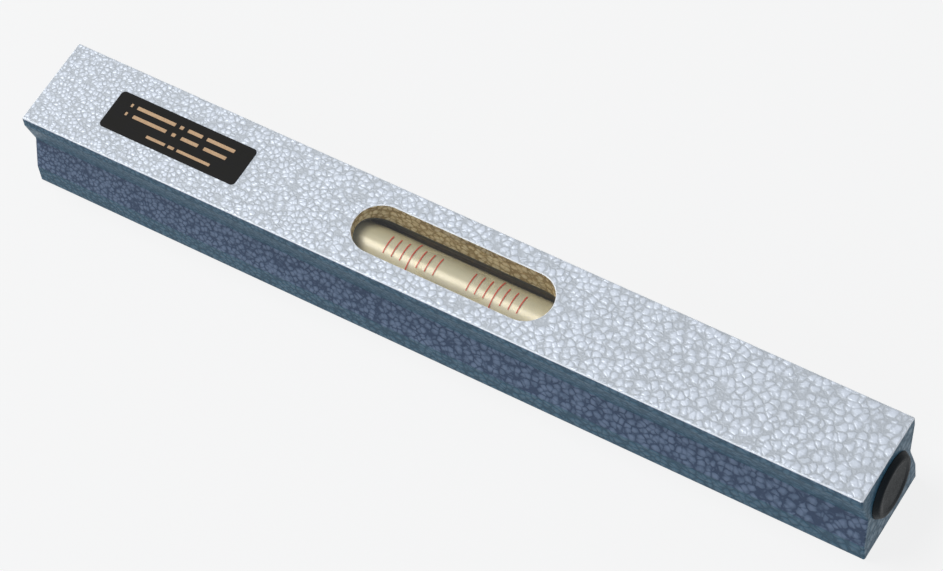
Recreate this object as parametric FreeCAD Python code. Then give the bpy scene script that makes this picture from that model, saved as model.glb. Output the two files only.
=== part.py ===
# Precision machinist level: a waisted cast-iron bar with a flat ground sole, bored lengthwise
# from one end. A brass tube in the bore carries the glass vial under a window slot in the top
# face. The tube swivels on a round nose at its blind end, and an eccentric at its other end raises or
# lowers it to set the zero. A push-in plug closes the bore.
#
# Frame: millimetres, origin at the centre of the sole, +X along the bar towards the plugged end,
# +Z up.
import FreeCAD, Part
import math
import os

V = FreeCAD.Vector
X_AXIS = V(1, 0, 0)
Y_AXIS = V(0, 1, 0)
Z_AXIS = V(0, 0, 1)

# ---- driving dimensions: bar --------------------------------------------------------------
body_length = 200.0
body_width = 22.0
body_height = 23.0
top_flange_height = 2.5      # upright side of the top flange
base_flange_height = 5.2     # upright side of the base flange
waist_inset = 2.0            # depth of the hollow side, deepest level with the bore's axis
top_edge_round = 0.5
flange_edge_round = 0.8
waist_round = 1.5
base_edge_round = 0.4
end_edge_chamfer = 0.25

# ---- bore and window slot -----------------------------------------------------------------
bore_drop = 9.8              # axis of the bore below the top face
drill_point_angle = 118.0
bore_mouth_chamfer = 0.4
slot_length = 47.0
slot_width = 12.0
slot_rim_chamfer = 0.2

# ---- window pane and label ----------------------------------------------------------------
pane_thickness = 1.5
pane_recess = 0.35           # top of the pane below the top face
pane_clearance = 0.05
label_length = 34.0
label_width = 9.9
label_thickness = 0.12
label_corner_radius = 1.0
label_end_distance = 15.6    # from the blind end of the bar

# ---- vial ---------------------------------------------------------------------------------
vial_radius = 5.55
vial_wall = 0.9
vial_overlap = 9.5           # the vial runs this far past each end of the slot
seal_tip_radius = 1.1
seal_tip_length = 1.6
sensitivity = 0.0006         # slope of one division: 0.6 mm in 1 m
division = 2.0               # bubble travel for one division
lines_per_group = 7
group_centre = 10.0          # distance of each group's long middle line from the centre
line_width = 0.26
line_thickness = 0.04
short_line_angle = 24.0      # half angle that a short line covers round the glass
long_line_angle = 40.0
bubble_length = 18.0
bubble_depth = 1.7

# ---- vial holder --------------------------------------------------------------------------
cement_thickness = 0.2
cement_length = 6.0
cement_margin = 1.0          # from the end of the vial to its cement
holder_wall = 0.4
holder_clearance = 0.35      # lets the tube tilt in the bore
window_cut_margin = 2.5      # the tube is cut away this much past each end of the slot
window_cut_drop = 2.0        # and down to this far below its axis
plug_length = 6.0            # of the plug in each end of the tube
vial_plug_gap = 3.6
fixed_clearance = 0.02       # between pieces pressed or cemented together
running_clearance = 0.05     # between pieces that move on each other

# ---- nose pivot ---------------------------------------------------------------------------
nose_radius = 1.5
nose_flat_angle = 25.0       # the round nose runs between these two angles from its tip
nose_stem_angle = 65.0
nose_stem_length = 4.0       # from the nose's centre to the blind end of the tube
seat_half_angle = 45.0       # of the conical socket
seat_margin = 1.0            # metal left behind the socket's point
key_pin_radius = 0.6
key_pin_offset = 4.2         # below the axis
key_pin_engagement = 2.0
key_slot_clearance = 0.15

# ---- eccentric adjuster, from the tube outwards ---------------------------------------------
eccentricity = 0.35
eccentric_pin_radius = 1.25
pin_engagement = 3.5
disc_thickness = 0.5
disc_rise = 0.9              # cupped height of the disc spring
disc_edge_gap = 1.2          # its rim inside the edge of the flange
disc_hole_gap = 0.4          # its hole round the path of the eccentric pin
shaft_flange_length = 2.0
shaft_flange_gap = 1.1       # between the flange and the bore
shaft_end_play = 0.1
bush_wall = 2.4
bush_length = 10.0
bush_notch_width = 1.6
bush_notch_depth = 1.2
journal_setback = 0.3        # end of the journal inside the bush
washer_thickness = 1.1
washer_bearing = 0.65        # the washer's seat on the end of the bush
washer_split = 0.8
nut_height = 4.0
nut_across_flats = 8.0
tail_radius = 2.5
tail_projection = 1.8        # of the tail past the nut
thread_clearance = 0.05
driver_slot_width = 0.9
driver_slot_depth = 1.6

# ---- end plug -----------------------------------------------------------------------------
plug_head_lip = 1.0          # the head covers this much round the bore
plug_head_thickness = 1.3
plug_head_chamfer = 0.8
plug_spigot_length = 6.0
plug_spigot_wall = 1.0
plug_rib_height = 0.35
plug_rib_length = 1.8
plug_tail_gap = 5.4          # between the spigot and the tail of the adjuster

# ---- derived: across the bore ---------------------------------------------------------------
bore_height = body_height - bore_drop
holder_bore_radius = vial_radius + cement_thickness
holder_radius = holder_bore_radius + holder_wall
bore_radius = holder_radius + holder_clearance
vial_bore_radius = vial_radius - vial_wall
fixed_radius = bore_radius - fixed_clearance
shaft_flange_radius = bore_radius - shaft_flange_gap
journal_radius = fixed_radius - bush_wall - running_clearance
thread_hole_radius = tail_radius + thread_clearance
barrel_radius = division / sensitivity
bubble_floor = vial_bore_radius - bubble_depth

# ---- derived: along the bore, from the vial to the blind end --------------------------------
half_length = body_length / 2
vial_length = slot_length + 2 * vial_overlap
cavity_half = vial_length / 2 - vial_wall
holder_start_x = -(vial_length / 2 + vial_plug_gap + plug_length)
nose_x = holder_start_x - nose_stem_length
socket_depth = (nose_radius + running_clearance) / math.sin(math.radians(seat_half_angle))
bore_end_x = nose_x - socket_depth - seat_margin
key_pin_z = bore_height - key_pin_offset

# ---- derived: along the bore, from the open end to the tube ---------------------------------
tail_end_x = half_length - plug_spigot_length - plug_tail_gap
nut_x = tail_end_x - tail_projection - nut_height
washer_x = nut_x - running_clearance - washer_thickness
bush_end_x = washer_x - running_clearance
bush_x = bush_end_x - bush_length
flange_x = bush_x - shaft_end_play - shaft_flange_length
disc_hub_x = flange_x - running_clearance - disc_thickness
disc_rim_x = disc_hub_x - disc_rise
holder_end_x = disc_rim_x - running_clearance


# ---- helpers ------------------------------------------------------------------------------
def rod(radius, start_x, end_x, y=0.0, z=bore_height):
    """Cylinder along X between two positions."""
    return Part.makeCylinder(radius, end_x - start_x, V(start_x, y, z), X_AXIS)


def tube(outer, inner, start_x, end_x):
    """Plain tube on the bore's axis."""
    return rod(outer, start_x, end_x).cut(rod(inner, start_x, end_x))


def block(start, end):
    """Box between two corners."""
    return Part.makeBox(end[0] - start[0], end[1] - start[1], end[2] - start[2], V(*start))


def turned(points):
    """Solid of revolution about the bore's axis from (x, radius) points."""
    corners = [V(x, 0, bore_height + r) for x, r in points]
    wire = Part.makePolygon(corners + [corners[0]])
    return Part.Face(wire).revolve(V(0, 0, bore_height), X_AXIS, 360)


def rounded_wire(corners, radii):
    """Closed wire through corners, each one rounded by its own radius (0 keeps it sharp)."""
    count = len(corners)
    entries = []
    exits = []
    arcs = []
    for i, (corner, radius) in enumerate(zip(corners, radii)):
        back = (corners[i - 1] - corner).normalize()
        ahead = (corners[(i + 1) % count] - corner).normalize()
        half_angle = back.getAngle(ahead) / 2
        reach = radius / math.tan(half_angle) if radius else 0.0
        entry = corner + back * reach
        leave = corner + ahead * reach
        entries.append(entry)
        exits.append(leave)
        if radius:
            bisector = (back + ahead).normalize()
            crown = corner + bisector * (radius / math.sin(half_angle) - radius)
            arcs.append(Part.Arc(entry, crown, leave).toShape())
        else:
            arcs.append(None)
    edges = []
    for i in range(count):
        if arcs[i]:
            edges.append(arcs[i])
        edges.append(Part.makeLine(exits[i], entries[(i + 1) % count]))
    return Part.Wire(edges)


def racetrack(length, width, low, high, centre_x=0.0):
    """Upright prism with straight sides and half-round ends."""
    side = length / 2 - width / 2
    half = width / 2
    a = V(centre_x - side, -half, low)
    b = V(centre_x + side, -half, low)
    c = V(centre_x + side, half, low)
    d = V(centre_x - side, half, low)
    right = Part.Arc(b, V(centre_x + length / 2, 0, low), c).toShape()
    left = Part.Arc(d, V(centre_x - length / 2, 0, low), a).toShape()
    wire = Part.Wire([Part.makeLine(a, b), right, Part.makeLine(c, d), left])
    return Part.Face(wire).extrude(V(0, 0, high - low))


def save(name, shape):
    shape.exportStep("parts/%s.step" % name)


# ---- bar ----------------------------------------------------------------------------------
def waisted_section(x):
    """Section of the bar: two flanges with a shallow V-shaped hollow down each side."""
    half = body_width / 2
    side = [
        (half, 0.0, base_edge_round),
        (half, base_flange_height, flange_edge_round),
        (half - waist_inset, bore_height, waist_round),
        (half, body_height - top_flange_height, flange_edge_round),
        (half, body_height, top_edge_round),
    ]
    outline = side + [(-y, z, r) for y, z, r in reversed(side)]
    corners = [V(x, y, z) for y, z, r in outline]
    return Part.Face(rounded_wire(corners, [r for y, z, r in outline]))


def body():
    bar = waisted_section(-half_length).extrude(V(body_length, 0, 0))
    end_edges = [e for e in bar.Edges if e.BoundBox.XLength < 1e-6]
    bar = bar.makeChamfer(end_edge_chamfer, end_edges)
    slot = racetrack(slot_length, slot_width, bore_height, body_height + 1)
    bar = bar.cut(slot)
    rim = [e for e in bar.Edges if on_slot_rim(e)]
    bar = bar.makeChamfer(slot_rim_chamfer, rim)
    return bar.cut(drilled_bore()).removeSplitter()


def on_slot_rim(edge):
    box = edge.BoundBox
    on_top = abs(box.ZMin - body_height) < 1e-6 and abs(box.ZMax - body_height) < 1e-6
    inside = box.XMax < slot_length / 2 + 1e-3 and box.YMax < slot_width / 2 + 1e-3
    return on_top and inside and box.XMin > -slot_length / 2 - 1e-3


def drilled_bore():
    """Blind bore with a drill point at its end and a chamfered mouth."""
    point_length = bore_radius / math.tan(math.radians(drill_point_angle / 2))
    return turned([
        (half_length + 1, 0),
        (half_length + 1, bore_radius + bore_mouth_chamfer + 1),
        (half_length - bore_mouth_chamfer, bore_radius),
        (bore_end_x, bore_radius),
        (bore_end_x - point_length, 0),
    ])


def window_pane():
    top = body_height - pane_recess
    length = slot_length - 2 * pane_clearance
    width = slot_width - 2 * pane_clearance
    return racetrack(length, width, top - pane_thickness, top)


def label_plate():
    low_x = -half_length + label_end_distance
    high_x = low_x + label_length
    half = label_width / 2
    corners = [V(low_x, -half, body_height), V(high_x, -half, body_height)]
    corners += [V(high_x, half, body_height), V(low_x, half, body_height)]
    wire = rounded_wire(corners, [label_corner_radius] * 4)
    return Part.Face(wire).extrude(V(0, 0, label_thickness))


# ---- vial ---------------------------------------------------------------------------------
def barrel_drop():
    """How much the barrel's radius shrinks from its middle to its ends."""
    return barrel_radius - math.sqrt(barrel_radius ** 2 - cavity_half ** 2)


def barrel_cavity():
    """Inside of the vial: a bore ground to a barrel whose curve sets the sensitivity."""
    end_height = bore_height + vial_bore_radius - barrel_drop()
    left = V(-cavity_half, 0, end_height)
    right = V(cavity_half, 0, end_height)
    crown = Part.Arc(left, V(0, 0, bore_height + vial_bore_radius), right).toShape()
    axis_ends = [V(cavity_half, 0, bore_height), V(-cavity_half, 0, bore_height)]
    rest = Part.makePolygon([right] + axis_ends + [left])
    wire = Part.Wire([crown] + rest.Edges)
    return Part.Face(wire).revolve(V(0, 0, bore_height), X_AXIS, 360)


def vial_glass():
    """Closed glass tube, with the tip where it was filled and sealed."""
    half = vial_length / 2
    tip = rod(seal_tip_radius, half - vial_wall / 2, half + seal_tip_length)
    return rod(vial_radius, -half, half).cut(barrel_cavity()).fuse(tip).removeSplitter()


def graduation():
    """Two groups of fired-on lines round the top of the glass, the middle one of each longer."""
    lines = []
    middle = lines_per_group // 2
    for side in (-1, 1):
        for i in range(lines_per_group):
            x = side * (group_centre + (i - middle) * division)
            angle = long_line_angle if i == middle else short_line_angle
            lines.append(graduation_line(x, angle))
    return Part.makeCompound(lines)


def graduation_line(x, half_angle):
    axis_point = V(0, 0, bore_height)
    low_x = x - line_width / 2
    high_x = x + line_width / 2
    base = bore_height + vial_radius
    crest = base + line_thickness
    corners = [V(low_x, 0, base), V(high_x, 0, base), V(high_x, 0, crest), V(low_x, 0, crest)]
    section = Part.Face(Part.makePolygon(corners + [corners[0]]))
    section.rotate(axis_point, X_AXIS, -half_angle)
    return section.revolve(axis_point, X_AXIS, 2 * half_angle)


def bubble():
    """Air bubble: flat below, against the barrel's crown above, with rounded ends in plan."""
    chord = 2 * math.sqrt(vial_bore_radius ** 2 - bubble_floor ** 2)
    low = bore_height + bubble_floor
    plan = racetrack(bubble_length, chord, low, bore_height + vial_bore_radius)
    return plan.common(rod(spirit_radius(), -bubble_length, bubble_length))


def spirit_radius():
    """Radius that clears the barrel everywhere along it."""
    return vial_bore_radius - barrel_drop() - fixed_clearance


def spirit_fill():
    """Spirit round and under the bubble; the bubble's whole path along the crown is left open."""
    low = bore_height + bubble_floor - fixed_clearance
    high = bore_height + vial_radius
    path = block((-cavity_half, -vial_radius, low), (cavity_half, vial_radius, high))
    return rod(spirit_radius(), -cavity_half, cavity_half).cut(path)


# ---- holder -------------------------------------------------------------------------------
def vial_holder():
    body_tube = tube(holder_radius, holder_bore_radius, holder_start_x, holder_end_x)
    half_cut = slot_length / 2 + window_cut_margin
    low = bore_height - window_cut_drop
    high = bore_height + holder_radius + 1
    window = block((-half_cut, -holder_radius - 1, low), (half_cut, holder_radius + 1, high))
    return body_tube.cut(window)


def cement(side):
    """Bed of cement in the bottom of the tube that one end of the vial lies in."""
    outer_x = side * (vial_length / 2 - cement_margin)
    inner_x = outer_x - side * cement_length
    low_x, high_x = sorted((outer_x, inner_x))
    ring = tube(holder_bore_radius, vial_radius, low_x, high_x)
    level = bore_height - window_cut_drop
    upper = block((low_x, -holder_radius, level), (high_x, holder_radius, bore_height + holder_radius))
    return ring.cut(upper)


def pivot_nose():
    """Stem that ends in a turned nose, rounded from a small flat on its tip back to the stem."""
    flat = math.radians(nose_flat_angle)
    middle = math.radians((nose_flat_angle + nose_stem_angle) / 2)
    stem = math.radians(nose_stem_angle)
    tip, crown, shoulder = [nose_point(angle) for angle in (flat, middle, stem)]
    root_x = holder_start_x + plug_length / 2
    corners = [shoulder, V(root_x, 0, shoulder.z), V(root_x, 0, bore_height)]
    corners += [V(tip.x, 0, bore_height), tip]
    wire = Part.Wire([Part.Arc(tip, crown, shoulder).toShape()] + Part.makePolygon(corners).Edges)
    return Part.Face(wire).revolve(V(0, 0, bore_height), X_AXIS, 360)


def nose_point(angle):
    """Point on the nose's sphere, at an angle from its tip."""
    return V(nose_x - nose_radius * math.cos(angle), 0, bore_height + nose_radius * math.sin(angle))


def pivot_plug():
    """Plug in the blind end of the tube, with the nose that the tube swivels on."""
    plug = rod(holder_bore_radius - fixed_clearance, holder_start_x, holder_start_x + plug_length)
    slot_half = key_pin_radius + key_slot_clearance
    slot_end_x = holder_start_x + key_pin_engagement + key_slot_clearance
    key_slot = block(
        (holder_start_x, -slot_half, bore_height - holder_radius),
        (slot_end_x, slot_half, key_pin_z + slot_half),
    )
    return plug.cut(key_slot).fuse(pivot_nose()).removeSplitter()


def pivot_seat():
    """Cup at the bottom of the bore with a conical socket that centres the nose."""
    cup = rod(fixed_radius, bore_end_x, nose_x)
    mouth = socket_depth * math.tan(math.radians(seat_half_angle))
    socket = turned([(nose_x - socket_depth, 0), (nose_x, mouth), (nose_x, 0)])
    return cup.cut(socket).cut(rod(key_pin_radius, bore_end_x, nose_x, 0, key_pin_z))


def key_pin():
    """Pin from the seat into the plug's slot, which stops the tube rolling."""
    return rod(key_pin_radius, bore_end_x, holder_start_x + key_pin_engagement, 0, key_pin_z)


def adjuster_plug():
    """Plug in the other end of the tube, with a level slot for the eccentric pin."""
    plug = rod(holder_bore_radius - fixed_clearance, holder_end_x - plug_length, holder_end_x)
    half_high = eccentric_pin_radius + running_clearance
    half_wide = half_high + 2 * eccentricity
    slot = block(
        (holder_end_x - pin_engagement - running_clearance, -half_wide, bore_height - half_high),
        (holder_end_x, half_wide, bore_height + half_high),
    )
    return plug.cut(slot)


# ---- adjuster -----------------------------------------------------------------------------
def eccentric_shaft():
    """Flanged shaft with an off-centre pin inwards and a slotted, threaded tail outwards."""
    flange_end_x = flange_x + shaft_flange_length
    flange = rod(shaft_flange_radius, flange_x, flange_end_x)
    journal = rod(journal_radius, flange_end_x, bush_end_x - journal_setback)
    tail = rod(tail_radius, flange_end_x, tail_end_x)
    pin = rod(eccentric_pin_radius, holder_end_x - pin_engagement, flange_x, eccentricity)
    half = driver_slot_width / 2
    slot = block(
        (tail_end_x - driver_slot_depth, -tail_radius, bore_height - half),
        (tail_end_x, tail_radius, bore_height + half),
    )
    return flange.fuse([journal, tail, pin]).cut(slot).removeSplitter()


def disc_spring():
    """Cupped disc that keeps the nose in its seat."""
    hole_radius = eccentricity + eccentric_pin_radius + disc_hole_gap
    rim_radius = shaft_flange_radius - disc_edge_gap
    return turned([
        (disc_hub_x, hole_radius),
        (disc_hub_x + disc_thickness, hole_radius),
        (disc_rim_x + disc_thickness, rim_radius),
        (disc_rim_x, rim_radius),
    ])


def bearing_bush():
    """Bush screwed into the bore, with a slot across its outer end for a spanner."""
    bush = tube(fixed_radius, journal_radius + running_clearance, bush_x, bush_end_x)
    half = bush_notch_width / 2
    notch = block(
        (bush_end_x - bush_notch_depth, -bore_radius, bore_height - half),
        (bush_end_x, bore_radius, bore_height + half),
    )
    return bush.cut(notch)


def spring_washer():
    outer = journal_radius + running_clearance + washer_bearing
    end_x = washer_x + washer_thickness
    half = washer_split / 2
    split = block((washer_x, -half, bore_height), (end_x, half, bore_height + outer))
    return tube(outer, thread_hole_radius, washer_x, end_x).cut(split)


def lock_nut():
    """Hexagon nut, chamfered on the side where the spanner goes on."""
    end_x = nut_x + nut_height
    flat_radius = nut_across_flats / 2
    corner_radius = flat_radius / math.cos(math.radians(30))
    corners = []
    for i in range(6):
        angle = math.radians(60 * i)
        y = corner_radius * math.sin(angle)
        z = bore_height + corner_radius * math.cos(angle)
        corners.append(V(nut_x, y, z))
    prism = Part.Face(Part.makePolygon(corners + [corners[0]])).extrude(V(nut_height, 0, 0))
    drop = (corner_radius - flat_radius) * math.tan(math.radians(30))
    chamfered = turned([
        (nut_x, 0),
        (nut_x, corner_radius),
        (end_x - drop, corner_radius),
        (end_x, flat_radius),
        (end_x, 0),
    ])
    return prism.common(chamfered).cut(rod(thread_hole_radius, nut_x, end_x))


# ---- end plug -----------------------------------------------------------------------------
def end_plug():
    """Moulded push-in plug: a thin chamfered head and a hollow spigot with a barbed rim."""
    head_radius = bore_radius + plug_head_lip
    head_x = half_length + plug_head_thickness
    rib_radius = bore_radius - running_clearance
    core_radius = rib_radius - plug_rib_height
    tip_x = half_length - plug_spigot_length
    return turned([
        (tip_x, core_radius - plug_spigot_wall),
        (tip_x, core_radius),
        (tip_x + plug_rib_length, rib_radius),
        (tip_x + plug_rib_length, core_radius),
        (half_length, core_radius),
        (half_length, head_radius),
        (head_x - plug_head_chamfer, head_radius),
        (head_x, head_radius - plug_head_chamfer),
        (head_x, 0),
        (half_length, 0),
        (half_length, core_radius - plug_spigot_wall),
    ])


# ---- all pieces ---------------------------------------------------------------------------
def main():
    os.makedirs("parts", exist_ok=True)
    save("body", body())
    save("window_pane", window_pane())
    save("label_plate", label_plate())
    save("vial_glass", vial_glass())
    save("graduation", graduation())
    save("spirit_fill", spirit_fill())
    save("bubble", bubble())
    save("vial_holder", vial_holder())
    save("cement_left", cement(-1))
    save("cement_right", cement(1))
    save("pivot_plug", pivot_plug())
    save("pivot_seat", pivot_seat())
    save("key_pin", key_pin())
    save("adjuster_plug", adjuster_plug())
    save("eccentric_shaft", eccentric_shaft())
    save("disc_spring", disc_spring())
    save("bearing_bush", bearing_bush())
    save("spring_washer", spring_washer())
    save("lock_nut", lock_nut())
    save("end_plug", end_plug())


main()
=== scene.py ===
import math

import bpy
import numpy as np
from mathutils import Matrix, Vector


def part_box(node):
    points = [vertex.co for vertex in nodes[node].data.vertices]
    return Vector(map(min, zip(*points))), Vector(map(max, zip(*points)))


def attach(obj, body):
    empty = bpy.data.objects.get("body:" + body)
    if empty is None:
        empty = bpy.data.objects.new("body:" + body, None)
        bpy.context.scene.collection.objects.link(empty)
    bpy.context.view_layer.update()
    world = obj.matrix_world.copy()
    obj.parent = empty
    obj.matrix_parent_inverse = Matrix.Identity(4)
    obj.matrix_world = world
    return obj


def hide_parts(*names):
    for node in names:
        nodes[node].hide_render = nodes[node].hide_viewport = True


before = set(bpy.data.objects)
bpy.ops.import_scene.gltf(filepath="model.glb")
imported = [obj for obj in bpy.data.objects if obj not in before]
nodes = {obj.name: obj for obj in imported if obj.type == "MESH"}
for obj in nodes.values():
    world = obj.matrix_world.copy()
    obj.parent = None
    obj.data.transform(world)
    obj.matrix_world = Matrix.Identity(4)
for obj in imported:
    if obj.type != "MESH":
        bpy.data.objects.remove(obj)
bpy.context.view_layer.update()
mm = 0.001
print("frame loaded:", len(nodes), "nodes")


# small helpers

def hexColour(text):
    # sRGB hex to linear RGBA
    srgb = [int(text[i:i + 2], 16) / 255 for i in (1, 3, 5)]
    return tuple(c / 12.92 if c <= 0.04045 else ((c + 0.055) / 1.055) ** 2.4 for c in srgb) + (1.0,)


def addNode(tree, kind, inputs=None, stops=None, **settings):
    # adds a node: settings are its own properties, inputs are values or sockets to link,
    # stops are the (place, colour) pairs of a colour ramp
    node = tree.nodes.new(kind)
    for name, value in settings.items():
        setattr(node, name, value)
    for key, value in (inputs or {}).items():
        if isinstance(value, bpy.types.NodeSocket):
            tree.links.new(value, node.inputs[key])
        else:
            node.inputs[key].default_value = value
    for i, (place, colour) in enumerate(stops or []):
        stop = node.color_ramp.elements[i] if i < 2 else node.color_ramp.elements.new(place)
        stop.position = place
        stop.color = hexColour(colour)
    return node


def newMaterial(name):
    # a material with an empty tree, its output and its object coordinates in millimetres
    material = bpy.data.materials.new(name)
    material.use_nodes = True
    tree = material.node_tree
    tree.nodes.clear()
    output = addNode(tree, "ShaderNodeOutputMaterial")
    place = addNode(tree, "ShaderNodeTexCoord")
    millimetres = addNode(
        tree, "ShaderNodeVectorMath", {0: place.outputs["Object"], "Scale": 1000.0}, operation="SCALE")
    return material, tree, output, millimetres.outputs["Vector"]


def finishWith(piece, material):
    piece.data.materials.clear()
    piece.data.materials.append(material)


def meshPiece(name, points, faces, body, material, smooth=True):
    # a mesh object from an array of points in millimetres and a list of faces
    mesh = bpy.data.meshes.new(name)
    mesh.from_pydata((np.asarray(points) * mm).tolist(), [], [tuple(f) for f in faces])
    mesh.validate()
    mesh.polygons.foreach_set("use_smooth", np.full(len(mesh.polygons), smooth))
    mesh.update()
    piece = bpy.data.objects.new(name, mesh)
    bpy.context.scene.collection.objects.link(piece)
    finishWith(piece, material)
    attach(piece, body)
    return piece


def gridFaces(rows, columns):
    # quads of a grid numbered row by row; each row is a ring, so its last point joins its first
    i, j = np.meshgrid(np.arange(rows - 1), np.arange(columns), indexing="ij")
    a = i * columns + j
    b = i * columns + (j + 1) % columns
    c = b + columns
    d = a + columns
    return np.stack([a, d, c, b], -1).reshape(-1, 4)


def roundedProfile(corners, radii, steps=8):
    # a profile through (x, radius) corners, each corner replaced by an arc of its own radius
    corners = np.asarray(corners, float)
    runs = [corners[:1]]
    for before, here, after, radius in zip(corners[:-2], corners[1:-1], corners[2:], radii[1:-1]):
        back = (before - here) / np.linalg.norm(before - here)
        ahead = (after - here) / np.linalg.norm(after - here)
        half = math.acos(np.clip(back @ ahead, -1, 1)) / 2
        reach = radius / math.tan(half)
        centre = here + (back + ahead) / np.linalg.norm(back + ahead) * radius / math.sin(half)
        if radius == 0:
            runs.append(here[None])
            continue
        start, end = here + back * reach - centre, here + ahead * reach - centre
        turn = math.pi - 2 * half
        t = np.linspace(0, 1, steps + 1)[:, None]
        runs.append(centre + (start * np.sin((1 - t) * turn) + end * np.sin(t * turn)) / math.sin(turn))
    runs.append(corners[-1:])
    return np.concatenate(runs)


def turnedPiece(name, profile, axisHeight, segments, body, material):
    # profile (x, r) carried round the line y = 0, z = axisHeight: at angle a the point is
    # (x, -r sin a, axisHeight + r cos a); both ends of the profile lie on the axis and become poles
    angle = np.arange(segments) / segments * 2 * math.pi
    x, r = profile[1:-1, 0][:, None], profile[1:-1, 1][:, None]
    rings = np.stack([x + 0 * angle, -r * np.sin(angle), axisHeight + r * np.cos(angle)], -1).reshape(-1, 3)
    poles = [[profile[0, 0], 0, axisHeight], [profile[-1, 0], 0, axisHeight]]
    count = len(profile) - 2
    faces = gridFaces(count, segments).tolist()
    first, last = len(rings), len(rings) + 1
    k = np.arange(segments)
    faces += np.stack([k * 0 + first, k, (k + 1) % segments], -1).tolist()
    tail = (count - 1) * segments
    faces += np.stack([k * 0 + last, tail + (k + 1) % segments, tail + k], -1).tolist()
    return meshPiece(name, np.concatenate([rings, poles]), faces, body, material)


# places from the frame, in millimetres

def boxOf(name):
    low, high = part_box(name)
    return np.array(low) / mm, np.array(high) / mm


bodyLow, bodyHigh = boxOf("body")
vialLow, vialHigh = boxOf("vial_glass")
paneLow, paneHigh = boxOf("window_pane")
plugLow, plugHigh = boxOf("end_plug")
labelLow, labelHigh = boxOf("label_plate")
bubbleLow, bubbleHigh = boxOf("bubble")
boreHeight = (plugLow[2] + plugHigh[2]) / 2
vialRadius = (vialHigh[1] - vialLow[1]) / 2
topHeight = bodyHigh[2]


# hammered enamel on the cast bar
# Hammer-finish stoving enamel: a silicone additive draws the wet silver paint into round cells
# with dark seams between them, about a millimetre across, so it looks like beaten pewter.
enamel = {
    "cell": 1.4,              # mm, size of a cell at the middle of the bar
    "growth": 0.0034,         # the cells grow by this share for each mm along the bar
    "warp": 0.55,             # mm, how far noise pushes the cells out of shape
    "relief": 0.14,            # mm, from seam to dome, drawn deeper than the paint's 0.1 so that it shows
    # the edge colour is a painted highlight for the rounded edges of the top
    "seam": "#b0b5ba", "slope": "#c6ccd4", "dome": "#d3d9e2", "edge": "#eceff2",
    # painted shade: the sides are the same silver enamel, coloured darker and bluer where less light falls
    # on them; lighter for the slopes that lean up, darker for upright and under-facing faces
    "shadedSideSeam": "#3f5069", "shadedSideSlope": "#5d7088", "shadedSideDome": "#7889a3",
    "deepShadeSeam": "#285065", "deepShadeSlope": "#335f76", "deepShadeDome": "#3f6e86",
    # painted light: the walls of the slot are the same enamel, coloured cream and lighter to stand in for
    # the light that reaches them through the tinted pane
    "litWallSeam": "#b09a70", "litWallSlope": "#e2d3ab", "litWallDome": "#f6ecd0",
    "ironDark": "#55595c", "ironLight": "#8e9293",
}


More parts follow.
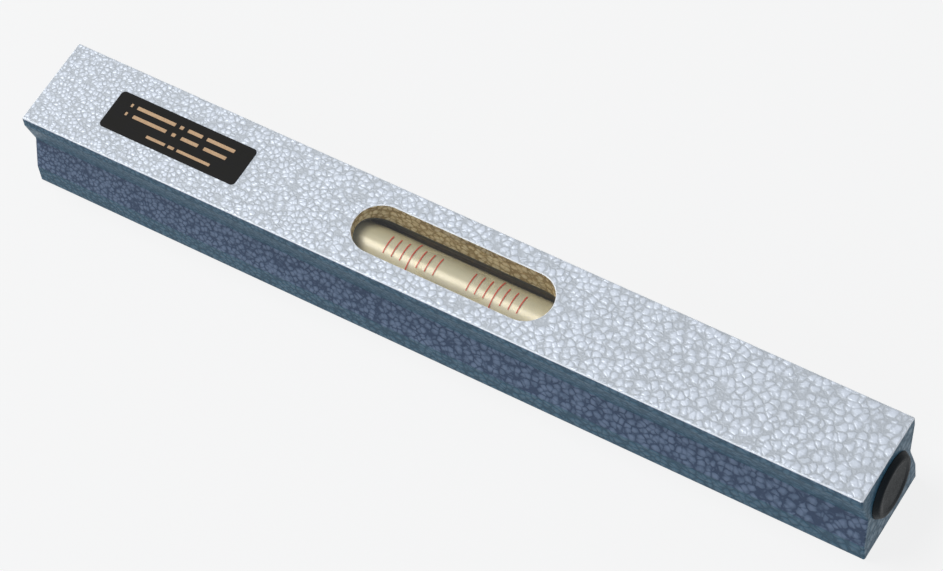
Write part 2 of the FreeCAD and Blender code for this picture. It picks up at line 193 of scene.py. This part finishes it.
def hammeredEnamel(spec):
    material, tree, output, place = newMaterial("hammered_silver_enamel")
    xyz = addNode(tree, "ShaderNodeSeparateXYZ", {0: place})
    x, y, z = xyz.outputs

    # the cells grow along the bar: x becomes ln(1 + kx) / k, y and z are divided by 1 + kx
    scale = addNode(
        tree, "ShaderNodeMath", {0: x, 1: spec["growth"], 2: 1.0}, operation="MULTIPLY_ADD").outputs[0]
    logX = addNode(tree, "ShaderNodeMath", {0: scale, 1: math.e}, operation="LOGARITHM").outputs[0]
    longX = addNode(
        tree, "ShaderNodeMath", {0: logX, 1: 1 / spec["growth"]}, operation="MULTIPLY").outputs[0]
    shortY = addNode(tree, "ShaderNodeMath", {0: y, 1: scale}, operation="DIVIDE").outputs[0]
    shortZ = addNode(tree, "ShaderNodeMath", {0: z, 1: scale}, operation="DIVIDE").outputs[0]
    grown = addNode(tree, "ShaderNodeCombineXYZ", {0: longX, 1: shortY, 2: shortZ}).outputs[0]
    drift = addNode(
        tree, "ShaderNodeTexNoise", {"Vector": grown, "Scale": 0.62, "Detail": 2.0, "Roughness": 0.6})
    drift = addNode(
        tree, "ShaderNodeVectorMath", {0: drift.outputs["Color"], 1: (0.5, 0.5, 0.5)}, operation="SUBTRACT"
    ).outputs[0]
    drift = addNode(
        tree, "ShaderNodeVectorMath", {0: drift, "Scale": 2 * spec["warp"]}, operation="SCALE").outputs[0]
    cells = addNode(tree, "ShaderNodeVectorMath", {0: grown, 1: drift}, operation="ADD").outputs[0]

    # height of the paint: round domes from the distance to a cell's middle, smaller ones riding
    # on them, and dark seams along some of the cells' edges
    middle = addNode(
        tree, "ShaderNodeTexVoronoi", {"Vector": cells, "Scale": 1 / spec["cell"], "Smoothness": 0.55},
        feature="SMOOTH_F1").outputs["Distance"]
    small = addNode(
        tree, "ShaderNodeTexVoronoi", {"Vector": cells, "Scale": 2.3 / spec["cell"], "Smoothness": 0.6},
        feature="SMOOTH_F1").outputs["Distance"]
    edge = addNode(
        tree, "ShaderNodeTexVoronoi", {"Vector": cells, "Scale": 1 / spec["cell"]},
        feature="DISTANCE_TO_EDGE").outputs["Distance"]
    patches = addNode(
        tree, "ShaderNodeTexNoise", {"Vector": place, "Scale": 0.45, "Detail": 2.0}).outputs[0]
    depth = addNode(
        tree, "ShaderNodeMapRange",
        {"Value": patches, "From Min": 0.35, "From Max": 0.65, "To Min": 0.45, "To Max": 1.0}).outputs[0]
    seam = addNode(
        tree, "ShaderNodeMapRange",
        {"Value": edge, "From Min": 0.02, "From Max": 0.2, "To Min": 1.0, "To Max": 0.0},
        interpolation_type="SMOOTHSTEP").outputs[0]
    seam = addNode(tree, "ShaderNodeMath", {0: seam, 1: depth}, operation="MULTIPLY").outputs[0]
    dome = addNode(
        tree, "ShaderNodeMapRange", {"Value": middle, "From Min": 0.72, "From Max": 0.12},
        interpolation_type="SMOOTHSTEP").outputs[0]
    bead = addNode(
        tree, "ShaderNodeMapRange", {"Value": small, "From Min": 0.6, "From Max": 0.0},
        interpolation_type="SMOOTHSTEP").outputs[0]
    fine = addNode(
        tree, "ShaderNodeTexNoise", {"Vector": place, "Scale": 3.2, "Detail": 3.0, "Roughness": 0.6}
    ).outputs[0]
    height = addNode(
        tree, "ShaderNodeMath", {0: seam, 1: -0.4, 2: 0.32}, operation="MULTIPLY_ADD").outputs[0]
    height = addNode(
        tree, "ShaderNodeMath", {0: dome, 1: 0.5, 2: height}, operation="MULTIPLY_ADD").outputs[0]
    height = addNode(
        tree, "ShaderNodeMath", {0: bead, 1: 0.16, 2: height}, operation="MULTIPLY_ADD").outputs[0]
    height = addNode(
        tree, "ShaderNodeMath", {0: fine, 1: 0.12, 2: height}, operation="MULTIPLY_ADD").outputs[0]

    # colours by height for the top, for the darker, bluer copies on the sides that are painted shade, and
    # for the cream copy on the walls of the slot that is painted light
    top = addNode(
        tree, "ShaderNodeValToRGB", {0: height},
        stops=[(0.25, spec["seam"]), (0.9, spec["dome"]), (0.55, spec["slope"])]).outputs[0]
    shadedSide = addNode(
        tree, "ShaderNodeValToRGB", {0: height},
        stops=[(0.2, spec["shadedSideSeam"]), (0.95, spec["shadedSideDome"]), (0.5, spec["shadedSideSlope"])]).outputs[0]
    low = addNode(
        tree, "ShaderNodeValToRGB", {0: height},
        stops=[(0.2, spec["deepShadeSeam"]), (0.95, spec["deepShadeDome"]), (0.5, spec["deepShadeSlope"])]).outputs[0]
    litWall = addNode(
        tree, "ShaderNodeValToRGB", {0: height},
        stops=[(0.2, spec["litWallSeam"]), (0.9, spec["litWallDome"]), (0.5, spec["litWallSlope"])]).outputs[0]

    # which way the surface faces decides the painted light: the top, a painted highlight on the rounded
    # edges, lighter painted shade on the slopes that lean up and deeper painted shade on upright and
    # under-facing sides
    normal = addNode(tree, "ShaderNodeNewGeometry").outputs["Normal"]
    up = addNode(tree, "ShaderNodeSeparateXYZ", {0: normal}).outputs["Z"]
    leansIntoLight = addNode(
        tree, "ShaderNodeMapRange", {"Value": up, "From Min": 0.08, "From Max": 0.2},
        interpolation_type="SMOOTHSTEP").outputs[0]
    facesUp = addNode(
        tree, "ShaderNodeMapRange", {"Value": up, "From Min": 0.35, "From Max": 0.6},
        interpolation_type="SMOOTHSTEP").outputs[0]
    flat = addNode(
        tree, "ShaderNodeMapRange", {"Value": up, "From Min": 0.8, "From Max": 0.97},
        interpolation_type="SMOOTHSTEP").outputs[0]
    # painted shade: upright and under-facing faces take the deeper shade colours, the slopes that lean up
    # the lighter ones
    shadedSide = addNode(tree, "ShaderNodeMix", {0: leansIntoLight, 6: low, 7: shadedSide}, data_type="RGBA").outputs[2]
    # painted highlight: where the top rounds over, a near-white colour stands in for the light on the edge
    top = addNode(
        tree, "ShaderNodeMix", {0: flat, 6: hexColour(spec["edge"]), 7: top}, data_type="RGBA").outputs[2]
    colour = addNode(tree, "ShaderNodeMix", {0: facesUp, 6: shadedSide, 7: top}, data_type="RGBA").outputs[2]

    # inside the slot, within the racetrack and under the rim: painted light, the walls take a cream copy of
    # the enamel that stands in for the light reaching them through the pane
    halfSlot = (paneHigh[1] - paneLow[1]) / 2
    straight = (paneHigh[0] - paneLow[0]) / 2 - halfSlot
    along = addNode(tree, "ShaderNodeMath", {0: x}, operation="ABSOLUTE").outputs[0]
    along = addNode(tree, "ShaderNodeMath", {0: along, 1: straight}, operation="SUBTRACT").outputs[0]
    along = addNode(tree, "ShaderNodeMath", {0: along, 1: 0.0}, operation="MAXIMUM").outputs[0]
    across = addNode(tree, "ShaderNodeCombineXYZ", {0: along, 1: y, 2: 0.0}).outputs[0]
    reach = addNode(tree, "ShaderNodeVectorMath", {0: across}, operation="LENGTH").outputs["Value"]
    withinSlot = addNode(
        tree, "ShaderNodeMath", {0: reach, 1: halfSlot + 0.1}, operation="LESS_THAN").outputs[0]
    underRim = addNode(
        tree, "ShaderNodeMath", {0: z, 1: topHeight - 0.22}, operation="LESS_THAN").outputs[0]
    inSlot = addNode(tree, "ShaderNodeMath", {0: withinSlot, 1: underRim}, operation="MULTIPLY").outputs[0]
    # painted light: the walls of the slot are the same enamel, coloured lighter and warmer
    colour = addNode(tree, "ShaderNodeMix", {0: inSlot, 6: colour, 7: litWall}, data_type="RGBA").outputs[2]

    # bare iron: the bore, reamed, and the sole, ground
    rise = addNode(tree, "ShaderNodeMath", {0: z, 1: boreHeight}, operation="SUBTRACT").outputs[0]
    spoke = addNode(tree, "ShaderNodeCombineXYZ", {0: 0.0, 1: y, 2: rise}).outputs[0]
    spoke = addNode(tree, "ShaderNodeVectorMath", {0: spoke}, operation="LENGTH").outputs["Value"]
    inBore = addNode(tree, "ShaderNodeMath", {0: spoke, 1: 6.95}, operation="LESS_THAN").outputs[0]
    onSole = addNode(tree, "ShaderNodeMath", {0: z, 1: 0.03}, operation="LESS_THAN").outputs[0]
    bare = addNode(tree, "ShaderNodeMath", {0: inBore, 1: onSole}, operation="MAXIMUM").outputs[0]
    scratch = addNode(tree, "ShaderNodeMapping", {"Vector": place, "Scale": (0.08, 6.0, 6.0)}).outputs[0]
    scratch = addNode(
        tree, "ShaderNodeTexNoise", {"Vector": scratch, "Scale": 1.0, "Detail": 4.0}).outputs[0]
    iron = addNode(
        tree, "ShaderNodeValToRGB", {0: scratch}, stops=[(0.3, spec["ironDark"]), (0.7, spec["ironLight"])]
    ).outputs[0]
    colour = addNode(tree, "ShaderNodeMix", {0: bare, 6: colour, 7: iron}, data_type="RGBA").outputs[2]

    # paint stands 0.1 mm proud on the domes; the sides are thinner and smoother
    soft = addNode(tree, "ShaderNodeMapRange", {"Value": facesUp, "To Min": 0.55, "To Max": 1.0}).outputs[0]
    painted = addNode(tree, "ShaderNodeMath", {0: 1.0, 1: bare}, operation="SUBTRACT").outputs[0]
    strength = addNode(tree, "ShaderNodeMath", {0: soft, 1: painted}, operation="MULTIPLY").outputs[0]
    bump = addNode(
        tree, "ShaderNodeBump", {"Strength": strength, "Distance": spec["relief"] * mm, "Height": height}
    ).outputs[0]
    grind = addNode(tree, "ShaderNodeMath", {0: bare, 1: 0.4}, operation="MULTIPLY").outputs[0]
    bump = addNode(
        tree, "ShaderNodeBump",
        {"Strength": grind, "Distance": 0.01 * mm, "Height": scratch, "Normal": bump}).outputs[0]
    rough = addNode(
        tree, "ShaderNodeMapRange",
        {"Value": height, "From Min": 0.2, "From Max": 0.9, "To Min": 0.5, "To Max": 0.34}).outputs[0]
    metal = addNode(
        tree, "ShaderNodeMath", {0: bare, 1: 0.75, 2: 0.15}, operation="MULTIPLY_ADD").outputs[0]
    surface = addNode(
        tree, "ShaderNodeBsdfPrincipled",
        {
            "Base Color": colour, "Roughness": rough, "Metallic": metal, "Normal": bump,
            "Specular IOR Level": 0.25}
    )
    tree.links.new(surface.outputs[0], output.inputs[0])
    return material


finishWith(nodes["body"], hammeredEnamel(enamel))
print("enamel on the bar")


# clear pieces: a skin that mirrors at low angles over what lies behind it
# cast acrylic with a trace of yellow; it mirrors a little less than plain acrylic's 1.49 would
acrylicPane = {"tint": "#fdfaf4", "ior": 1.4, "roughness": 0.03, "speck": 0.25}
# drawn glass tube; ior and roughness are set for a weak, soft highlight under the pane
vialGlass = {"tint": "#fcfdfb", "ior": 1.34, "roughness": 0.12, "speck": 0.4}


def clearSkin(name, spec):
    # tinted see-through shader and a mirror one, mixed by Fresnel; faint wipe marks on the gloss
    material, tree, output, place = newMaterial(name)
    marks = addNode(
        tree, "ShaderNodeTexNoise",
        {"Vector": place, "Scale": spec["speck"], "Detail": 5.0, "Roughness": 0.65}).outputs[0]
    rough = addNode(
        tree, "ShaderNodeMapRange",
        {"Value": marks, "To Min": spec["roughness"], "To Max": spec["roughness"] * 3}).outputs[0]
    bump = addNode(
        tree, "ShaderNodeBump", {"Strength": 0.02, "Distance": 0.01 * mm, "Height": marks}).outputs[0]
    see = addNode(tree, "ShaderNodeBsdfTransparent", {0: hexColour(spec["tint"])}).outputs[0]
    gloss = addNode(
        tree, "ShaderNodeBsdfAnisotropic", {"Color": (1, 1, 1, 1), "Roughness": rough, "Normal": bump}
    ).outputs[0]
    share = addNode(tree, "ShaderNodeFresnel", {"IOR": spec["ior"], "Normal": bump}).outputs[0]
    inside = addNode(tree, "ShaderNodeNewGeometry").outputs["Backfacing"]
    outside = addNode(tree, "ShaderNodeMath", {0: 1.0, 1: inside}, operation="SUBTRACT").outputs[0]
    share = addNode(tree, "ShaderNodeMath", {0: share, 1: outside}, operation="MULTIPLY").outputs[0]
    mixed = addNode(tree, "ShaderNodeMixShader", {0: share, 1: see, 2: gloss}).outputs[0]
    tree.links.new(mixed, output.inputs[0])
    return material


finishWith(nodes["window_pane"], clearSkin("yellowed_acrylic_pane", acrylicPane))
glassSkin = clearSkin("drawn_vial_glass", vialGlass)


# materials of the small pieces

def grainedMaterial(name, spec):
    # colour, roughness and bump from one noise stretched along the direction it was worked in
    material, tree, output, place = newMaterial(name)
    stretched = addNode(
        tree, "ShaderNodeMapping", {"Vector": place, "Scale": spec.get("stretch", (1, 1, 1))}).outputs[0]
    grain = addNode(
        tree, "ShaderNodeTexNoise",
        {"Vector": stretched, "Scale": 1 / spec["grain"], "Detail": 4.0, "Roughness": 0.6}).outputs[0]
    cloud = addNode(tree, "ShaderNodeTexNoise", {"Vector": place, "Scale": 0.25, "Detail": 2.0}).outputs[0]
    both = addNode(tree, "ShaderNodeMath", {0: cloud, 1: 0.4, 2: -0.2}, operation="MULTIPLY_ADD").outputs[0]
    both = addNode(tree, "ShaderNodeMath", {0: grain, 1: both}, operation="ADD").outputs[0]
    colour = addNode(
        tree, "ShaderNodeValToRGB", {0: both}, stops=[(0.3, spec["dark"]), (0.7, spec["light"])]).outputs[0]
    rough = addNode(
        tree, "ShaderNodeMapRange",
        {
            "Value": both, "From Min": 0.3, "From Max": 0.7, "To Min": spec["roughness"] * 1.25,
            "To Max": spec["roughness"] * 0.8}
    ).outputs[0]
    bump = addNode(
        tree, "ShaderNodeBump", {"Strength": 0.5, "Distance": spec["relief"] * mm, "Height": grain}
    ).outputs[0]
    settings = {
        "Base Color": colour, "Roughness": rough, "Normal": bump, "Metallic": spec.get("metallic", 0.0)}
    settings.update(spec.get("more", {}))
    surface = addNode(tree, "ShaderNodeBsdfPrincipled", settings).outputs[0]
    tree.links.new(surface, output.inputs[0])
    return material


smallFinishes = {
    # turned brass: fine rings round the axis, warm and bright
    "turned_brass": {
        "dark": "#9c7a35", "light": "#cfae62", "roughness": 0.34, "metallic": 1.0, "grain": 0.35,
        "stretch": (6, 1, 1), "relief": 0.01},
    # ground silver steel: cool, fine rings
    "ground_steel": {
        "dark": "#7f8489", "light": "#b3b8bc", "roughness": 0.3, "metallic": 1.0, "grain": 0.3,
        "stretch": (6, 1, 1), "relief": 0.006},
    # tempered spring steel: blue-brown, slightly oily
    "spring_steel": {
        "dark": "#3f4450", "light": "#6d7480", "roughness": 0.36, "metallic": 1.0, "grain": 0.4,
        "relief": 0.006},
    # zinc-plated steel nut and washer: pale with a faint yellow bloom
    "zinc_steel": {
        "dark": "#8d9296", "light": "#c3c6c2", "roughness": 0.38, "metallic": 1.0, "grain": 0.5,
        "relief": 0.008},
    # plaster that the vial is bedded in: chalky, matt
    "vial_plaster": {
        "dark": "#cfc9bb", "light": "#eeeae0", "roughness": 0.85, "grain": 0.25, "relief": 0.03},
    # enamel fired on the glass: red, a little glossy
    "fired_red": {"dark": "#b23a30", "light": "#d2493d", "roughness": 0.4, "grain": 0.3, "relief": 0.004},
    # moulded polyamide plug: near black, fine moulded texture
    "moulded_black": {
        "dark": "#070d10", "light": "#121b20", "roughness": 0.5, "grain": 0.22, "relief": 0.012,
        "more": {"Specular IOR Level": 0.1}},
    # black printed foil with a fine grain along the label
    "label_black": {
        "dark": "#08080a", "light": "#14130f", "roughness": 0.38, "grain": 0.2, "stretch": (0.1, 1, 1),
        "relief": 0.004, "more": {"Specular IOR Level": 0.12}},
    # the print: pale gold ink
    "label_gold": {"dark": "#a07d58", "light": "#c4a27c", "roughness": 0.5, "grain": 0.2, "relief": 0.003},
}
made = {name: grainedMaterial(name, spec) for name, spec in smallFinishes.items()}
for name, finish in {
    "label_plate": "label_black", "graduation": "fired_red", "vial_holder": "turned_brass", "cement_left": "vial_plaster",
    "cement_right": "vial_plaster", "pivot_plug": "turned_brass", "pivot_seat": "turned_brass", "key_pin": "ground_steel",
    "adjuster_plug": "turned_brass", "eccentric_shaft": "ground_steel", "disc_spring": "spring_steel",
    "bearing_bush": "turned_brass", "spring_washer": "zinc_steel", "lock_nut": "zinc_steel",
}.items():
    finishWith(nodes[name], made[finish])
print("small pieces finished")


# vial: a glass skin over the spirit
# A tube full of spirit works as a lens: what is inside shows right out to the edge of the glass.
# So the spirit is drawn out to just under the skin, and the bubble lies between them.
vial = {"skinGap": 0.12, "endRound": 1.6, "segments": 96, "bubbleLift": 0.04}


def spiritMaterial():
    # spirit seen through thick glass with the brass tube behind it: a soft greenish beige, with a painted
    # highlight along the crown, brightest a little towards the front, and painted shade darkening the far
    # edge
    material, tree, output, place = newMaterial("spirit_in_glass")
    y, z = addNode(tree, "ShaderNodeSeparateXYZ", {0: place}).outputs[1:3]
    # angle round the vial's axis, which places the painted highlight and shade
    rise = addNode(tree, "ShaderNodeMath", {0: z, 1: boreHeight}, operation="SUBTRACT").outputs[0]
    angle = addNode(tree, "ShaderNodeMath", {0: y, 1: rise}, operation="ARCTAN2").outputs[0]
    turn = addNode(
        tree, "ShaderNodeMapRange", {"Value": angle, "From Min": -1.6, "From Max": 1.6}).outputs[0]
    wisps = addNode(tree, "ShaderNodeMapping", {"Vector": place, "Scale": (0.06, 0.8, 0.8)}).outputs[0]
    wisps = addNode(tree, "ShaderNodeTexNoise", {"Vector": wisps, "Scale": 1.0, "Detail": 3.0}).outputs[0]
    shade = addNode(
        tree, "ShaderNodeMath", {0: wisps, 1: 0.16, 2: -0.08}, operation="MULTIPLY_ADD").outputs[0]
    shade = addNode(tree, "ShaderNodeMath", {0: turn, 1: shade}, operation="ADD").outputs[0]
    # painted highlight and shade round the axis: palest a little in front of the crown, darkest at the far
    # edge
    colour = addNode(tree, "ShaderNodeValToRGB", {0: shade}, stops=[
        (0.08, "#aaa894"), (0.92, "#6e684f"), (0.24, "#c6c6b8"), (0.36, "#d8d9d4"), (0.46, "#cfcfc4"), (0.62, "#bebdaf"), (0.78, "#a9a592")]).outputs[0]
    surface = addNode(
        tree, "ShaderNodeBsdfPrincipled",
        {
            "Base Color": colour, "Roughness": 0.35, "Subsurface Weight": 0.2, "Subsurface Scale": 1.5 * mm,
            "Subsurface Radius": (1.0, 0.9, 0.6)}
    ).outputs[0]
    tree.links.new(surface, output.inputs[0])
    return material


def airMaterial():
    # the bubble: almost clear, with painted reflection at its meniscus: a pale cream rim, a darker ring
    # inside it and a faint whitish sheen over the middle
    material, tree, output, place = newMaterial("air_behind_glass")
    edge = addNode(tree, "ShaderNodeAttribute", attribute_name="rim").outputs["Fac"]
    noise = addNode(tree, "ShaderNodeTexNoise", {"Vector": place, "Scale": 1.2, "Detail": 3.0}).outputs[0]
    shade = addNode(
        tree, "ShaderNodeMath", {0: noise, 1: 0.12, 2: edge}, operation="MULTIPLY_ADD").outputs[0]
    # painted reflection and shade of the meniscus, by share of the way out
    colour = addNode(
        tree, "ShaderNodeValToRGB", {0: shade},
        stops=[(0.0, "#e4e6e0"), (1.0, "#f4f0dc"), (0.6, "#e0e2d8"), (0.85, "#c2c0a8")]).outputs[0]
    surface = addNode(
        tree, "ShaderNodeBsdfPrincipled", {"Base Color": colour, "Roughness": 0.25}).outputs[0]
    clear = addNode(tree, "ShaderNodeBsdfTransparent").outputs[0]
    cover = addNode(
        tree, "ShaderNodeMapRange",
        {"Value": edge, "From Min": 0.8, "From Max": 1.0, "To Min": 0.05, "To Max": 0.55}).outputs[0]
    mixed = addNode(tree, "ShaderNodeMixShader", {0: cover, 1: clear, 2: surface}).outputs[0]
    tree.links.new(mixed, output.inputs[0])
    return material


def buildVial(spec):
    # skin: a turned tube with rounded ends; core: the same a little smaller
    tip = vialHigh[0] + vialLow[0]      # the sealed tip reaches past one end by this much
    half = -vialLow[0]
    skin = roundedProfile([(-half, 0), (-half, vialRadius), (half, vialRadius), (half, 1.2), (half + tip, 0.9), (half + tip, 0)],
                          [0, spec["endRound"], spec["endRound"], 0.5, 0.5, 0], 10)[::-1]
    skin = turnedPiece(
        "vial_skin", skin, boreHeight, spec["segments"], "vial_carrier", glassSkin)
    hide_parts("vial_glass")
    radius = vialRadius - spec["skinGap"]
    core = roundedProfile(
        [(-half + 0.9, 0), (-half + 0.9, radius), (half - 0.9, radius), (half - 0.9, 0)], [0, 1.4, 1.4, 0],
        10)[::-1]
    core = turnedPiece(
        "spirit_core", core, boreHeight, spec["segments"], "vial_carrier", spiritMaterial())
    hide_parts("spirit_fill")
    return radius


def buildBubble(spec, coreRadius):
    # a shallow blister on the crown: its outline is half the length times |cos a| to the power
    # 0.55 and half the width times |sin a| to the power 0.8; the point at share s of the way out is
    # s times that, wrapped round the vial and lifted by 1 - s to the fourth
    rings, turns = 14, 96
    halfLength = (bubbleHigh[0] - bubbleLow[0]) / 2
    halfWidth = (bubbleHigh[1] - bubbleLow[1]) / 2
    s, a = np.meshgrid(
        np.linspace(0, 1, rings + 1)[1:], np.arange(turns) / turns * 2 * math.pi, indexing="ij")
    outX = np.sign(np.cos(a)) * np.abs(np.cos(a)) ** 0.55 * halfLength
    outY = np.sign(np.sin(a)) * np.abs(np.sin(a)) ** 0.8 * halfWidth
    x, y = s * outX, s * outY
    bend = y / vialRadius * 1.25
    lift = coreRadius + 0.02 + spec["bubbleLift"] * (1 - s ** 4)
    top = np.stack([x, lift * np.sin(bend), boreHeight + lift * np.cos(bend)], -1).reshape(-1, 3)
    points = np.concatenate([top, [[0, 0, boreHeight + coreRadius + 0.02 + spec["bubbleLift"]]]])
    k = np.arange(turns)
    faces = gridFaces(rings, turns).tolist()
    faces += np.stack([k * 0 + rings * turns, (k + 1) % turns, k][::-1], -1).tolist()
    piece = meshPiece("bubble_blister", points, faces, "air_bubble", airMaterial())
    share = np.concatenate([s.reshape(-1), [0.0]]).astype(np.float32)
    attribute = piece.data.attributes.new("rim", "FLOAT", "POINT")
    attribute.data.foreach_set("value", share)
    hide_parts("bubble")


buildBubble(vial, buildVial(vial))
print("vial, spirit and bubble made")


# end plug, moulded
endPlug = {
    "dish": 0.25,             # mm, how far the middle of the face lies below its rim
    "spigot": 6.5, "hollow": 5.5,   # mm, radii of the bore it fits and of its own hollow
    "slack": 0.15,            # mm, the spigot is this much thinner than the bore
    "segments": 128,
}


def buildPlug(spec):
    # turned profile from the middle of the dished face, over the rounded rim, along the spigot
    # with its gripping rib and back up inside the hollow spigot
    low, high, headRadius = plugLow[0], plugHigh[0], (plugHigh[1] - plugLow[1]) / 2
    outside, inside, end = spec["spigot"] - spec["slack"], spec["hollow"], bodyHigh[0]
    # the face and its rim
    corners = [(high - spec["dish"], 0), (high - spec["dish"], headRadius - 2.6), (high, headRadius - 1.7)]
    corners += [(high, headRadius - 0.8), (end, headRadius)]
    # the spigot with its rib and its tapered end
    corners += [(end, outside), (low + 4.6, outside), (low + 4.2, spec["spigot"] - 0.02)]
    corners += [(low + 3.0, outside), (low + 0.4, outside), (low, spec["spigot"] - 0.6)]
    # the hollow
    corners += [(low, inside), (end - 0.6, inside - 0.1), (end - 0.6, 0)]
    radii = [0, 1.2, 0.8, 0.7, 0.1, 0.1, 0.2, 0.3, 0.3, 0.1, 0.2, 0.1, 0.5, 0]
    profile = roundedProfile(corners, radii, 6)
    piece = turnedPiece(
        "end_plug_moulded", profile, boreHeight, spec["segments"], "plug", made["moulded_black"])
    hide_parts("end_plug")


buildPlug(endPlug)
print("end plug made")


# label print: plain bars where a maker's words would stand
labelPrint = {
    "thickness": 0.02, "round": 0.12,
    # rows of (height of the row's middle from the label's middle, bar height, start, bar lengths, gap)
    "rows": [
        (2.45, 0.85, 3.6, (0.5, 9.6, 0.9, 3.6, 6.9), 1.15),
        (0.1, 0.85, 3.6, (0.5, 8.4, 0.9, 4.2, 5.6), 1.45), (-2.9, 0.7, 10.9, (4.7, 1.5, 8.2), 0.75)],
}


def buildPrint(spec):
    # each bar is a thin rounded rectangle: its outline has five points on the arc at each corner
    z = labelHigh[2]
    corner = np.linspace(0, math.pi / 2, 5)
    points, faces = [], []
    for rowY, tall, start, lengths, gap in spec["rows"]:
        x = labelLow[0] + start
        for length in lengths:
            r = min(spec["round"], length / 2.01, tall / 2.01)
            outline = np.concatenate([np.stack([cx + r * np.cos(corner + turn), cy + r * np.sin(corner + turn)], -1) for cx, cy, turn in (
                (x + length - r, rowY + tall / 2 - r, 0), (x + r, rowY + tall / 2 - r, math.pi / 2),
                (x + r, rowY - tall / 2 + r, math.pi), (
                    x + length - r, rowY - tall / 2 + r, 1.5 * math.pi))])
            n, first = len(outline), sum(len(p) for p in points)
            points += [
                np.column_stack([outline, np.full(n, z)]),
                np.column_stack([outline, np.full(n, z + spec["thickness"])])]
            k = np.arange(n)
            faces += np.stack(
                [first + k, first + (k + 1) % n, first + n + (k + 1) % n, first + n + k], -1).tolist()
            faces += [(first + n + k).tolist(), (first + k[::-1]).tolist()]
            x += length + gap
    meshPiece(
        "label_print", np.concatenate(points), faces, "housing", made["label_gold"],
        smooth=False)


buildPrint(labelPrint)
print("label print made")


# floor, light and camera
stage = {"floorHalf": 3.0, "shade": 0.5, "floorGlow": 0.84}

floorMaterial, tree, output, place = newMaterial("pale_floor")
rays = addNode(tree, "ShaderNodeLightPath")
seen = addNode(
    tree, "ShaderNodeMath", {0: rays.outputs["Is Camera Ray"], 1: rays.outputs["Is Glossy Ray"]},
    operation="MAXIMUM").outputs[0]
seen = addNode(
    tree, "ShaderNodeMath", {0: seen, 1: rays.outputs["Is Transmission Ray"]}, operation="MAXIMUM"
).outputs[0]
share = addNode(tree, "ShaderNodeMath", {0: seen, 1: stage["floorGlow"]}, operation="MULTIPLY").outputs[0]
matt = addNode(tree, "ShaderNodeBsdfDiffuse", {0: (stage["shade"],) * 3 + (1,)}).outputs[0]
glow = addNode(tree, "ShaderNodeEmission", {0: (1, 1, 1, 1), 1: 1.0}).outputs[0]
tree.links.new(
    addNode(tree, "ShaderNodeMixShader", {0: share, 1: matt, 2: glow}).outputs[0], output.inputs[0])
half = stage["floorHalf"]
floorMesh = bpy.data.meshes.new("floor")
floorMesh.from_pydata(
    [(-half, -half, -0.00005), (half, -half, -0.00005), (half, half, -0.00005), (-half, half, -0.00005)],
    [], [(0, 1, 2, 3)])
floor = bpy.data.objects.new("floor", floorMesh)
bpy.context.scene.collection.objects.link(floor)
finishWith(floor, floorMaterial)

lamps = {
    # name: (place in m, size in m, power in W, colour)
    "overhead": ((-0.40, -0.06, 0.96), 0.50, 8.0, "#ffffff"),
    "front_fill": ((0.45, -0.95, 0.66), 0.80, 2.6, "#dbe8ff"),
}
for name, (place, size, power, colour) in lamps.items():
    lamp = bpy.data.lights.new(name, "AREA")
    lamp.shape, lamp.size, lamp.energy, lamp.color = "DISK", size, power, hexColour(colour)[:3]
    lampObject = bpy.data.objects.new(name, lamp)
    lampObject.location = place
    lampObject.rotation_euler = (Vector((0, 0, 0.012)) - Vector(place)).to_track_quat("-Z", "Y").to_euler()
    bpy.context.scene.collection.objects.link(lampObject)

world = bpy.data.worlds.new("studio")
bpy.context.scene.world = world
world.use_nodes = True
tree = world.node_tree
tree.nodes.clear()
rays = addNode(tree, "ShaderNodeLightPath")
seen = addNode(
    tree, "ShaderNodeMath", {0: rays.outputs["Is Camera Ray"], 1: rays.outputs["Is Glossy Ray"]},
    operation="MAXIMUM").outputs[0]
seen = addNode(
    tree, "ShaderNodeMath", {0: seen, 1: rays.outputs["Is Transmission Ray"]}, operation="MAXIMUM"
).outputs[0]
ambient = addNode(tree, "ShaderNodeBackground", {0: hexColour("#dfe8f5"), 1: 0.28}).outputs[0]
white = addNode(tree, "ShaderNodeBackground", {0: (1, 1, 1, 1), 1: 1.0}).outputs[0]
sky = addNode(tree, "ShaderNodeMixShader", {0: seen, 1: ambient, 2: white}).outputs[0]
addNode(tree, "ShaderNodeOutputWorld", {0: sky})

view = {
    "place": (0.30084, -0.36152, 0.72600), "forward": (-0.3496, 0.4256, -0.8347), "roll": 10.013,
    "lens": 158.73, "sensor": 36.0}
forward = Vector(view["forward"]).normalized()
levelRight = forward.cross(Vector((0, 0, 1))).normalized()
levelDown = forward.cross(levelRight)
roll = math.radians(view["roll"])
right = math.cos(roll) * levelRight + math.sin(roll) * levelDown
down = -math.sin(roll) * levelRight + math.cos(roll) * levelDown
camera = bpy.data.cameras.new("camera")
camera.lens, camera.sensor_width, camera.sensor_fit = view["lens"], view["sensor"], "HORIZONTAL"
camera.clip_start, camera.clip_end = 0.01, 20
cameraObject = bpy.data.objects.new("camera", camera)
turned = Matrix((right, -down, -forward)).transposed()
cameraObject.matrix_world = Matrix.Translation(view["place"]) @ turned.to_4x4()
bpy.context.scene.collection.objects.link(cameraObject)
bpy.context.scene.camera = cameraObject
bpy.context.scene.view_settings.view_transform = "Standard"
print("stage, lamps and camera set")
